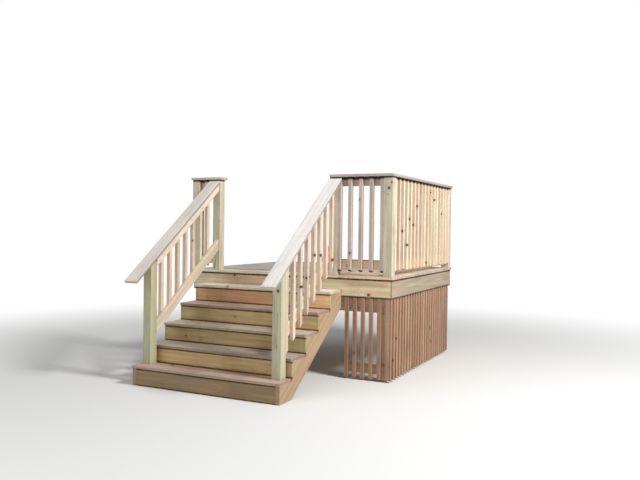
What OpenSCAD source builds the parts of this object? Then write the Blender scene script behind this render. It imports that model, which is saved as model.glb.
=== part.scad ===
// Wooden deck stairs: five treads up to a small deck with guards, millimetres, +Z up.
// X runs across the stair, Y goes up the stair, the floor is at Z = 0.

/* [Stair] */
// height of the first tread above the floor
first_rise = 186; // [120:1:220]
// height from one tread to the next
rise = 172; // [120:1:210]
// height from the fifth tread to the deck
last_rise = 144; // [100:1:210]
// nose of the first tread to the nose of the second
first_run = 211; // [180:1:320]
// nose to nose of the other treads
run = 251; // [200:1:320]
// width of the treads
stair_w = 1558; // [900:1:2400]
// how far a tread reaches in front of its riser
nosing = 12; // [0:1:40]
// thickness of treads, deck boards and caps
board_t = 27; // [18:1:40]
// width of a full tread board
tread_board_w = 140; // [90:1:190]
// gap between the two boards of a tread
tread_gap = 5; // [2:1:12]
// thickness of the risers
riser_t = 19; // [12:1:38]

/* [Frame] */
// thickness of stringers, rims, joists and rails
lumber_t = 38; // [25:1:60]
// height of rims and joists
rim_h = 190; // [140:1:290]
// wood left under the notches of a stringer, square to its slope
stringer_throat = 120; // [80:1:200]
// side of a square post
post_w = 89; // [60:1:140]
// number of joists between the side rims
joist_count = 6; // [3:1:10]
// height of the carrying beams
beam_h = 140; // [90:1:240]
// depth of the carrying beams
beam_t = 76; // [38:1:120]
// front of a beam behind the face of its rim
beam_set = 57; // [38:1:120]

/* [Deck] */
// left edge of the deck boards
deck_left = -240; // [-600:1:0]
// deck boards past the right side of the stair
deck_past = 540; // [300:1:1400]
// depth of the deck boards
deck_d = 2103; // [900:1:3000]
// number of deck boards
deck_board_count = 15; // [6:1:24]
// gap between deck boards
deck_gap = 4; // [2:1:10]
// deck boards past the front rim and the left rim
deck_nosing = 24; // [0:1:40]
// right edge of the boards past the right rim
side_overhang = 16; // [0:1:40]

/* [Posts] */
// side of the stair to the outer face of its posts
post_inset = 41; // [0:1:120]
// nose of the first tread to the front of the newels
newel_y = 102; // [30:1:160]
// left edge of the deck to the post beside the wall
wall_post_set = 14; // [0:1:60]
// right edge of the deck to the corner post
corner_post_set = 8; // [0:1:60]
// rear edge of the deck to the far post
far_post_set = 24; // [0:1:60]
// clear length of the return guard
return_l = 432; // [200:1:900]

/* [Guards] */
// top of the cap above the deck
guard_h = 993; // [850:1:1150]
// width of caps and handrails
cap_w = 140; // [90:1:190]
// cap in front of the post faces
cap_lip = 11; // [0:1:40]
// far cap past the far post
far_cap_lip = 35; // [0:1:60]
// left edge of the right handrail inside its post
right_rail_lip = 10; // [0:1:40]
// height of a rail board
rail_h = 89; // [60:1:140]
// bottom rail above the deck
rail_low = 66; // [30:1:120]
// side of a baluster
bal_w = 38; // [25:1:50]
// baluster below the bottom rail
bal_drop = 30; // [0:1:50]
// height of the slanted end cut of a baluster
bal_cut = 22; // [0:1:38]
// largest step from baluster to baluster in the level guards
bal_step = 118; // [70:1:130]

/* [Stair rails] */
// slope of handrails and stair rails, rise over run
rail_slope = 0.755; // [0.5:0.005:1]
// underside of the deck caps to the upper end of a handrail
handrail_drop = 13; // [0:1:60]
// lower end of the right handrail in front of the first nose
right_rail_end = 82; // [0:1:160]
// lower end of the left handrail in front of the first nose
left_rail_end = 105; // [0:1:160]
// height of the board under a handrail
top_rail_h = 64; // [38:1:120]
// lower edge of a bottom rail above the second nose
low_rail_z = 113; // [60:1:220]
// step of the left stair balusters
left_bal_step = 124; // [70:1:140]
// left stair balusters below their bottom rail
left_bal_drop = 0; // [0:1:80]
// step of the right stair balusters
right_bal_step = 129.5; // [70:0.5:140]
// right stair balusters below their bottom rail
right_bal_drop = 60; // [0:1:80]

/* [Skirt] */
// width of a skirt slat
slat_w = 40; // [30:1:140]
// step from slat to slat
slat_step = 85; // [50:1:200]
// thickness of a slat
slat_t = 19; // [12:1:25]
// slats above the floor
slat_low = 20; // [0:1:100]
// lower nailer above the floor
nailer_low = 70; // [20:1:200]

/* [Edges] */
// flat taken off the long edges of posts, rails and balusters
ease = 3; // [1:0.5:6]
// flat taken off the long edges of treads, deck boards, caps and handrails
deck_ease = 4; // [1:0.5:8]

/* [Hidden] */
deck_front = first_run + 4 * run;
deck_right = stair_w + deck_past;
deck_z = first_rise + 4 * rise + last_rise;
deck_back = deck_front + deck_d;
rim_front = deck_front + deck_nosing;
rim_back = deck_back;
rim_top = deck_z - board_t;
rim_low = rim_top - rim_h;
rim_left = deck_left + deck_nosing;
rim_right = deck_right - side_overhang;
joist_clear_l = rim_left + lumber_t;
joist_clear_r = rim_right - lumber_t;
joist_step = (joist_clear_r - joist_clear_l + lumber_t) / (joist_count + 1);
deck_board_w = (deck_d - (deck_board_count - 1) * deck_gap) / deck_board_count;
guard_top = deck_z + guard_h;
guard_low = guard_top - board_t;
left_post_x = post_inset;
right_post_x = stair_w - post_inset - post_w;
cap_front = deck_front - cap_lip;
cap_back = cap_front + cap_w;
cap_in = deck_right - cap_w;
wall_post_x = deck_left + wall_post_set;
corner_post_x = deck_right - corner_post_set - post_w;
far_post_y = deck_back - far_post_set - post_w;
return_post_x = corner_post_x - return_l - post_w;
far_cap_y = far_post_y + post_w + far_cap_lip;
far_cap_in = far_cap_y - cap_w;
handrail_z = guard_low - handrail_drop - rail_slope * deck_front;
handrail_angle = atan(rail_slope);
handrail_v = board_t / cos(handrail_angle);
low_rail_v = rail_h / cos(handrail_angle);
beam_y = rim_front + beam_set;
beam_low = rim_low - beam_h;
rear_beam_y = rim_back - beam_set - beam_t;
support_x = rim_right - beam_set - post_w;
left_support_x = rim_left + beam_set;
shift_x = -(deck_left + deck_right) / 2;
shift_y = -(far_cap_y - left_rail_end) / 2;
eps = 1;

// top of tread k
function tread_z(k) = first_rise + (k - 1) * rise;

// nose of tread k
function nose_y(k) = k == 1 ? 0 : first_run + (k - 2) * run;

// front face of riser k
function riser_y(k) = nose_y(k) + nosing;

// top of the handrails at y
function handrail_top(y) = handrail_z + rail_slope * y;

// underside of the handrails at y
function handrail_low(y) = handrail_top(y) - handrail_v;

// lower edge of the sloping bottom rails at y
function low_rail(y) = tread_z(2) + low_rail_z + rail_slope * (y - first_run);

// everything under the handrails from y0 to y1
function under_rail(y0, y1) = [
  [y0 - bal_w, -eps],
  [y1 + bal_w, -eps],
  [y1 + bal_w, handrail_low(y1 + bal_w)],
  [y0 - bal_w, handrail_low(y0 - bal_w)]
];

// moves everything so that the middle of the footprint is at the origin
module placed() {
  translate([shift_x, shift_y, 0]) children();
}

// stair balusters that fit a length when each takes one step
function bal_count(l, step) = floor((l - bal_w) / step) + 1;

// equal steps between the first and the last baluster of a level guard
function guard_steps(l) = ceil((l - bal_w) / bal_step);

// section of a board with its four edges eased by e
function eased(w, h, e) = [
  [e, 0], [w - e, 0], [w, e], [w, h - e],
  [w - e, h], [e, h], [0, h - e], [0, e]
];

// a square-edged board between two opposite corners
module board(a, b) {
  translate(a) cube(b - a);
}

// a board along X with eased edges
module board_x(a, b, e = ease) {
  translate(a) rotate([90, 0, 90])
    linear_extrude(height = b.x - a.x) polygon(eased(b.y - a.y, b.z - a.z, e));
}

// a board along Y with eased edges
module board_y(a, b, e = ease) {
  translate([a.x, b.y, a.z]) rotate([90, 0, 0])
    linear_extrude(height = b.y - a.y) polygon(eased(b.x - a.x, b.z - a.z, e));
}

// a board along Z with eased edges
module board_z(a, b, e = ease) {
  translate(a) linear_extrude(height = b.z - a.z) polygon(eased(b.x - a.x, b.y - a.y, e));
}

// a profile in the YZ plane, from x to x + w
module side_cut(x, w, pts) {
  translate([x, 0, 0]) rotate([90, 0, 90]) linear_extrude(height = w) polygon(pts);
}

// what a mitre from p to q takes off around the corner c, from z upward
module past_mitre(p, q, c, z) {
  translate([0, 0, z]) linear_extrude(height = 2 * guard_h)
    polygon([p + (p - q) / 4, q + (q - p) / 4, c + (2 * c - p - q) / 4]);
}

module riser(k) {
  low = k == 1 ? 0 : tread_z(k - 1) - board_t;
  in = k == 1 ? lumber_t : 0;
  y = riser_y(k);
  color("Tan") placed() board([in, y, low], [stair_w - in, y + riser_t, tread_z(k) - board_t]);
}

module tread(k) {
  y = nose_y(k);
  z = tread_z(k);
  back = k == 5 ? rim_front : riser_y(k + 1);
  mid = y + tread_board_w;
  color("BurlyWood") placed() {
    board_x([0, y, z - board_t], [stair_w, mid, z], deck_ease);
    board_x([0, mid + tread_gap, z - board_t], [stair_w, back, z], deck_ease);
  }
}

// outline of a stringer, its first edge at front
function stringer_steps(front) = [
  [front, tread_z(1) - board_t],
  for (k = [2 : 5]) each [
    [riser_y(k) + riser_t, tread_z(k - 1) - board_t],
    [riser_y(k) + riser_t, tread_z(k) - board_t]
  ],
  [rim_front, tread_z(5) - board_t]
];

module stringer(x, front) {
  angle = atan(rise / run);
  drop = stringer_throat / cos(angle);
  foot_y = riser_y(2) + riser_t - (tread_z(1) - board_t - drop) * run / rise;
  end_z = tread_z(1) - board_t - drop + (rim_front - riser_y(2) - riser_t) * rise / run;
  color("Peru") placed() side_cut(x, lumber_t, concat(
    [[front, 0]],
    stringer_steps(front),
    [[rim_front, end_z], [foot_y, 0]]
  ));
}

module front_rim() {
  y1 = rim_front + lumber_t;
  color("Tan") placed() difference() {
    board_x([rim_left, rim_front, rim_low], [rim_right, y1, rim_top]);
    past_mitre([rim_left, rim_front], [joist_clear_l, y1], [rim_left, y1], 0);
    past_mitre([rim_right, rim_front], [joist_clear_r, y1], [rim_right, y1], 0);
  }
}

module right_rim() {
  y1 = rim_front + lumber_t;
  color("Tan") placed() difference() {
    board_y([joist_clear_r, rim_front, rim_low], [rim_right, rim_back, rim_top]);
    past_mitre([rim_right, rim_front], [joist_clear_r, y1], [joist_clear_r, rim_front], 0);
  }
}

module left_rim() {
  y1 = rim_front + lumber_t;
  color("Tan") placed() difference() {
    board_y([rim_left, rim_front, rim_low], [joist_clear_l, rim_back, rim_top]);
    past_mitre([rim_left, rim_front], [joist_clear_l, y1], [joist_clear_l, rim_front], 0);
  }
}

module rear_rim() {
  y = rim_back - lumber_t;
  color("Tan") placed() board_x([joist_clear_l, y, rim_low], [joist_clear_r, rim_back, rim_top]);
}

module joists() {
  color("Peru") placed() for (k = [1 : joist_count]) {
    x = joist_clear_l - lumber_t + k * joist_step;
    board_y([x, rim_front + lumber_t, rim_low], [x + lumber_t, rim_back - lumber_t, rim_top]);
  }
}

module beam(y) {
  color("Peru") placed() board_x([left_support_x, y, beam_low], [support_x + post_w, y + beam_t, rim_low]);
}

module support(x, y) {
  color("Peru") placed() board_z([x, y, 0], [x + post_w, y + post_w, beam_low]);
}

module deck_boards() {
  color("BurlyWood") placed() for (k = [0 : deck_board_count - 1]) {
    y = deck_front + k * (deck_board_w + deck_gap);
    board_x([deck_left, y, rim_top], [deck_right, y + deck_board_w, deck_z], deck_ease);
  }
}

module front_skirt() {
  x1 = rim_right - slat_t;
  count = floor((x1 - stair_w - slat_w) / slat_step) + 1;
  back = rim_front + slat_t + lumber_t;
  color("Sienna") placed() union() {
    for (k = [0 : count - 1]) {
      x = x1 - slat_w - k * slat_step;
      board([x, rim_front, slat_low], [x + slat_w, rim_front + slat_t + eps, rim_low]);
    }
    x0 = x1 - slat_w - (count - 1) * slat_step;
    board([x0, rim_front + slat_t, rim_low - rail_h], [x1 - lumber_t, back, rim_low]);
    board([x0, rim_front + slat_t, nailer_low], [x1 - lumber_t, back, nailer_low + rail_h]);
  }
}

module right_skirt() {
  x1 = rim_right - slat_t;
  count = floor((rim_back - rim_front - slat_w) / slat_step) + 1;
  color("Sienna") placed() union() {
    for (k = [0 : count - 1]) {
      y = rim_front + k * slat_step;
      board([x1 - eps, y, slat_low], [rim_right, y + slat_w, rim_low]);
    }
    y0 = rim_front + slat_t;
    y1 = rim_front + (count - 1) * slat_step + slat_w;
    board([x1 - lumber_t, y0, rim_low - rail_h], [x1, y1, rim_low]);
    board([x1 - lumber_t, y0, nailer_low], [x1, y1, nailer_low + rail_h]);
  }
}

module newel(x) {
  y0 = newel_y;
  y1 = newel_y + post_w;
  z = tread_z(1);
  color("Khaki") placed() intersection() {
    board_z([x, y0, z], [x + post_w, y1, handrail_top(y1)]);
    side_cut(x - cap_lip, post_w + 2 * cap_lip, under_rail(y0, y1));
  }
}

module deck_post(x, y) {
  color("Khaki") placed() board_z([x, y, deck_z], [x + post_w, y + post_w, guard_low]);
}

// a board of height h under a line with the slope of the rails, cut plumb at y0 and y1
module sloping_board(x, h, y0, y1, top_z) {
  rest = h * tan(handrail_angle);
  intersection() {
    translate([x, y0, top_z]) rotate([handrail_angle, 0, 0])
      board_y([0, -rest, -h], [lumber_t, (y1 - y0) / cos(handrail_angle) + rest, 0]);
    board([x - lumber_t, y0, 0], [x + 2 * lumber_t, y1, 2 * guard_top]);
  }
}

// a baluster of the stair, both ends on the slope
module stair_baluster(x, a, drop) {
  b = a + bal_w;
  intersection() {
    board_z([x, a, 0], [x + bal_w, b, handrail_top(b)]);
    side_cut(x - bal_w, 3 * bal_w, [
      [a - bal_w, low_rail(a - bal_w) - drop],
      [b + bal_w, low_rail(b + bal_w) - drop],
      [b + bal_w, handrail_low(b + bal_w)],
      [a - bal_w, handrail_low(a - bal_w)]
    ]);
  }
}

// the two sloping rails with the balusters on their outer side
module stair_panel(rail_x, bal_x, step, drop) {
  y0 = newel_y + post_w;
  y1 = deck_front;
  low_top = low_rail(y0) + low_rail_v;
  color("Wheat") placed() union() {
    sloping_board(rail_x, top_rail_h, y0, y1, handrail_low(y0));
    sloping_board(rail_x, rail_h, y0, y1, low_top);
    for (k = [0 : bal_count(y1 - y0, step) - 1]) stair_baluster(bal_x, y0 + k * step, drop);
  }
}

// a baluster with its slanted end, the outer face along y = 0
module baluster() {
  low = deck_z + rail_low - bal_drop;
  intersection() {
    board_z([0, 0, low], [bal_w, bal_w, guard_low]);
    side_cut(-bal_w, 3 * bal_w, [
      [-bal_w, low + 2 * bal_cut],
      [2 * bal_w, low - bal_cut],
      [2 * bal_w, guard_top],
      [-bal_w, guard_top]
    ]);
  }
}

// level rails of a guard of length l, the outer face along y = 0
module level_rails(l) {
  board_x([0, bal_w, guard_low - rail_h], [l, bal_w + lumber_t, guard_low]);
  board_x([0, bal_w, deck_z + rail_low], [l, bal_w + lumber_t, deck_z + rail_low + rail_h]);
}

module left_guard_panel() {
  x0 = wall_post_x + post_w;
  l = left_post_x - x0;
  color("Wheat") placed() translate([x0, deck_front, 0]) union() {
    level_rails(l);
    translate([(l - bal_w) / 2, 0, 0]) baluster();
  }
}

module front_guard_panel() {
  x0 = right_post_x + post_w;
  l = corner_post_x - x0;
  color("Wheat") placed() translate([x0, deck_front, 0]) union() {
    level_rails(l);
    for (k = [0 : guard_steps(l)]) translate([k * (l - bal_w) / guard_steps(l), 0, 0]) baluster();
  }
}

module right_guard_panel() {
  y0 = deck_front + post_w;
  l = far_post_y - y0;
  x = corner_post_x + post_w;
  color("Wheat") placed() translate([x, y0, 0]) rotate([0, 0, 90]) union() {
    level_rails(l);
    for (k = [0 : guard_steps(l)]) translate([k * (l - bal_w) / guard_steps(l), 0, 0]) baluster();
  }
}

module rear_guard_panel() {
  x0 = return_post_x + post_w;
  l = corner_post_x - x0;
  y = far_post_y + post_w;
  color("Wheat") placed() translate([corner_post_x, y, 0]) rotate([0, 0, 180]) union() {
    level_rails(l);
    for (k = [0 : guard_steps(l)]) translate([k * (l - bal_w) / guard_steps(l), 0, 0]) baluster();
  }
}

// a flat sloping handrail, square cut below and plumb cut above
module handrail(x, end) {
  l = (deck_front + end) / cos(handrail_angle) + board_t;
  color("MistyRose") placed() intersection() {
    translate([x, -end, handrail_top(-end)]) rotate([handrail_angle, 0, 0])
      board_y([0, 0, -board_t], [cap_w, l, 0], deck_ease);
    board([x - eps, -2 * end, 0], [x + cap_w + eps, deck_front, 2 * guard_top]);
  }
}

module left_cap() {
  x1 = left_post_x + post_w + cap_lip;
  color("Beige") placed() board_x([deck_left, cap_front, guard_low], [x1, cap_back, guard_top], deck_ease);
}

module front_cap() {
  color("Beige") placed() difference() {
    board_x([right_post_x, cap_front, guard_low], [deck_right, cap_back, guard_top], deck_ease);
    past_mitre([deck_right, cap_front], [cap_in, cap_back], [deck_right, cap_back], deck_z);
  }
}

module right_cap() {
  color("Beige") placed() difference() {
    board_y([cap_in, cap_front, guard_low], [deck_right, far_cap_y, guard_top], deck_ease);
    past_mitre([deck_right, cap_front], [cap_in, cap_back], [cap_in, cap_front], deck_z);
    past_mitre([deck_right, far_cap_y], [cap_in, far_cap_in], [cap_in, far_cap_y], deck_z);
  }
}

module rear_cap() {
  color("Beige") placed() difference() {
    board_x([return_post_x, far_cap_in, guard_low], [deck_right, far_cap_y, guard_top], deck_ease);
    past_mitre([deck_right, far_cap_y], [cap_in, far_cap_in], [deck_right, far_cap_in], deck_z);
  }
}

riser(1);  // riser_1
riser(2);  // riser_2
riser(3);  // riser_3
riser(4);  // riser_4
riser(5);  // riser_5
tread(1);  // tread_1
tread(2);  // tread_2
tread(3);  // tread_3
tread(4);  // tread_4
tread(5);  // tread_5
stringer(0, riser_y(1));  // left_stringer
stringer((stair_w - lumber_t) / 2, riser_y(1) + riser_t);  // middle_stringer
stringer(stair_w - lumber_t, riser_y(1));  // right_stringer
front_rim();
left_rim();
right_rim();
rear_rim();
joists();
beam(beam_y);  // front_beam
beam(rear_beam_y);  // rear_beam
support(left_support_x, beam_y);  // support_fl
support(support_x, beam_y);  // support_fr
support(left_support_x, rear_beam_y);  // support_rl
support(support_x, rear_beam_y);  // support_rr
deck_boards();
front_skirt();
right_skirt();
newel(left_post_x);  // left_newel
newel(right_post_x);  // right_newel
deck_post(left_post_x, deck_front);  // left_upper_post
deck_post(right_post_x, deck_front);  // right_upper_post
deck_post(wall_post_x, deck_front);  // wall_post
deck_post(corner_post_x, deck_front);  // corner_post
deck_post(corner_post_x, far_post_y);  // far_post
deck_post(return_post_x, far_post_y);  // return_post
union() {  // left_stair_panel
  stair_panel(left_post_x + bal_w, left_post_x, left_bal_step, left_bal_drop);
}
union() {  // right_stair_panel
  x = right_post_x + post_w - bal_w;
  stair_panel(x - lumber_t, x, right_bal_step, right_bal_drop);
}
left_guard_panel();
front_guard_panel();
right_guard_panel();
rear_guard_panel();
handrail(left_post_x + post_w - cap_w, left_rail_end);  // left_handrail
handrail(right_post_x - right_rail_lip, right_rail_end);  // right_handrail
left_cap();
front_cap();
right_cap();
rear_cap();
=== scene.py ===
import math
import random

import bmesh
import bpy
from mathutils import Matrix, Vector


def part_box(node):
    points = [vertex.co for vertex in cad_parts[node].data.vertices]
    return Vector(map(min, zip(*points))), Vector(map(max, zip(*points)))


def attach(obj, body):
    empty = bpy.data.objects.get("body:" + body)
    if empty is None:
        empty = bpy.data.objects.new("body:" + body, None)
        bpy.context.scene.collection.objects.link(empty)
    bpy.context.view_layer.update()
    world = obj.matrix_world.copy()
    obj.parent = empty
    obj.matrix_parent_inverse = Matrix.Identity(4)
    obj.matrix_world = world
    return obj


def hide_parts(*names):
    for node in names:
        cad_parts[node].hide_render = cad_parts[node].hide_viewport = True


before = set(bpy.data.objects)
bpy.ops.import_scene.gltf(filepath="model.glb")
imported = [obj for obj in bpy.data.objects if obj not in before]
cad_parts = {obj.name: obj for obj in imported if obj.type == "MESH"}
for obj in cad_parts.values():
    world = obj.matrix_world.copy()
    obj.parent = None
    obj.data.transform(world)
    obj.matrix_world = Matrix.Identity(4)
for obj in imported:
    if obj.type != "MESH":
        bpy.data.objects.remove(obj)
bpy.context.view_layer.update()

axisX, axisY, axisZ = Vector((1, 0, 0)), Vector((0, 1, 0)), Vector((0, 0, 1))
dice = random.Random(41)


# helpers that lay shader nodes

def addNode(tree, kind, **settings):
    made = tree.nodes.new(kind)
    for key, value in settings.items():
        setattr(made, key, value)
    return made


def feed(tree, socket, value):
    if isinstance(value, bpy.types.NodeSocket):
        tree.links.new(value, socket)
    else:
        socket.default_value = value


def calc(tree, operation, *values, clamp=False):
    made = addNode(tree, "ShaderNodeMath", operation=operation, use_clamp=clamp)
    for socket, value in zip(made.inputs, values):
        feed(tree, socket, value)
    return made.outputs[0]


def vectorCalc(tree, operation, *values, out=0):
    made = addNode(tree, "ShaderNodeVectorMath", operation=operation)
    for socket, value in zip(made.inputs, values):
        feed(tree, socket, value)
    return made.outputs[out]


def remap(tree, value, low, high, toLow=0.0, toHigh=1.0, smooth=True):
    kind = "SMOOTHSTEP" if smooth else "LINEAR"
    made = addNode(tree, "ShaderNodeMapRange", interpolation_type=kind)
    for key, number in (("From Min", low), ("From Max", high), ("To Min", toLow), ("To Max", toHigh)):
        feed(tree, made.inputs[key], number)
    feed(tree, made.inputs["Value"], value)
    return made.outputs["Result"]


def noiseAt(tree, vector, stretch, detail=2.0, roughness=0.5, color=False):
    placed = vectorCalc(tree, "MULTIPLY", vector, stretch)
    made = addNode(tree, "ShaderNodeTexNoise", noise_dimensions="3D")
    feed(tree, made.inputs["Vector"], placed)
    made.inputs["Scale"].default_value = 1.0
    made.inputs["Detail"].default_value = detail
    made.inputs["Roughness"].default_value = roughness
    return made.outputs["Color" if color else "Fac"]


def blendColor(tree, amount, first, second, mode="MIX"):
    made = addNode(tree, "ShaderNodeMix", data_type="RGBA", blend_type=mode, clamp_factor=True)
    feed(tree, made.inputs[0], amount)
    for socket, value in ((made.inputs[6], first), (made.inputs[7], second)):
        feed(tree, socket, value if isinstance(value, bpy.types.NodeSocket) else (*value, 1.0))
    return made.outputs[2]


def ownAttribute(tree, name):
    made = addNode(tree, "ShaderNodeAttribute", attribute_type="GEOMETRY", attribute_name=name)
    return made.outputs["Vector"]


def splitUp(tree, vector):
    parts = addNode(tree, "ShaderNodeSeparateXYZ")
    feed(tree, parts.inputs[0], vector)
    return parts.outputs


def splitColor(tree, color):
    parts = addNode(tree, "ShaderNodeSeparateColor")
    feed(tree, parts.inputs[0], color)
    return parts.outputs


def greyColor(tree, level):
    made = addNode(tree, "ShaderNodeCombineColor")
    for socket in made.inputs[:3]:
        feed(tree, socket, level)
    return made.outputs[0]


def addBump(tree, shader, height, strength, distance):
    made = addNode(tree, "ShaderNodeBump")
    made.inputs["Strength"].default_value = strength
    made.inputs["Distance"].default_value = distance
    feed(tree, made.inputs["Height"], height)
    tree.links.new(made.outputs["Normal"], shader.inputs["Normal"])


def newMaterial(name):
    # a material, its nodes, and the shader that stands in it from the start
    made = bpy.data.materials.new(name)
    made.use_nodes = True
    return made, made.node_tree, made.node_tree.nodes["Principled BSDF"]


# wood, one recipe for every board; a look says how pale, knotty, cracked or dirty it is, and how much painted
# shade it takes along its seams, sides and top end

# how fine each pattern is along the board, across it and through it
patterns = {"knotCells": (5.6, 6.4, 1.6), "cellKnotRim": (60, 90, 60), "placedKnotRim": (70, 110, 70),
            "wander": (0.9, 3.5, 3.5), "wobble": (6, 45, 45), "streaks": (1.4, 30, 30),
            "fibre": (22, 520, 520), "patches": (2.3, 2.3, 2.3), "specks": (34, 34, 34),
            "cast": (2.6, 9, 9), "cracks": (1.1, 42, 42), "crackedSpots": (1.7, 9, 9), "sawTurns": 900.0}
# the seam tone is the dark colour of the painted shade lines, also used for the dark joint lines
tones = {"seam": (0.035, 0.016, 0.008), "crack": (0.07, 0.045, 0.025),
         "pinkCast": (1.05, 0.985, 0.97), "greenCast": (0.95, 1.005, 0.965)}
outOfReach = 9.0  # how many radii away a knot is where there is none


def cellKnots(tree, grain, share, size):
    # stretched cells, some of them with a knot that runs through the board
    cells = addNode(tree, "ShaderNodeTexVoronoi", voronoi_dimensions="3D", feature="F1")
    feed(tree, cells.inputs["Vector"], vectorCalc(tree, "MULTIPLY", grain, patterns["knotCells"]))
    cells.inputs["Scale"].default_value = 1.0
    luck = splitColor(tree, cells.outputs["Color"])
    there = calc(tree, "LESS_THAN", luck[0], share)
    radius = calc(tree, "MULTIPLY", size, remap(tree, luck[1], 0, 1, 0.55, 1.35, smooth=False))
    ragged = calc(tree, "SUBTRACT", noiseAt(tree, grain, patterns["cellKnotRim"]), 0.5)
    far = calc(tree, "ADD", cells.outputs["Distance"], calc(tree, "MULTIPLY", ragged, 0.03))
    missing = calc(tree, "MULTIPLY", calc(tree, "SUBTRACT", 1.0, there), outOfReach)
    return calc(tree, "ADD", calc(tree, "DIVIDE", far, radius), missing)


def placedKnot(tree, here, grain, name):
    # a knot that a board was given: its place along and across, and its radius
    spot = splitUp(tree, ownAttribute(tree, name))
    at = splitUp(tree, here)
    ragged = calc(tree, "SUBTRACT", noiseAt(tree, grain, patterns["placedKnotRim"]), 0.5)
    alongFar = calc(tree, "MULTIPLY", calc(tree, "SUBTRACT", at[0], spot[0]), 0.75)
    acrossFar = calc(tree, "SUBTRACT", at[1], spot[1])
    far = calc(tree, "SQRT", calc(tree, "ADD", calc(tree, "MULTIPLY", alongFar, alongFar),
                                  calc(tree, "MULTIPLY", acrossFar, acrossFar)))
    far = calc(tree, "ADD", far, calc(tree, "MULTIPLY", ragged, 0.005))
    missing = calc(tree, "MULTIPLY", calc(tree, "LESS_THAN", spot[2], 0.0005), outOfReach)
    return calc(tree, "ADD", calc(tree, "DIVIDE", far, calc(tree, "MAXIMUM", spot[2], 0.0001)), missing)


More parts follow.
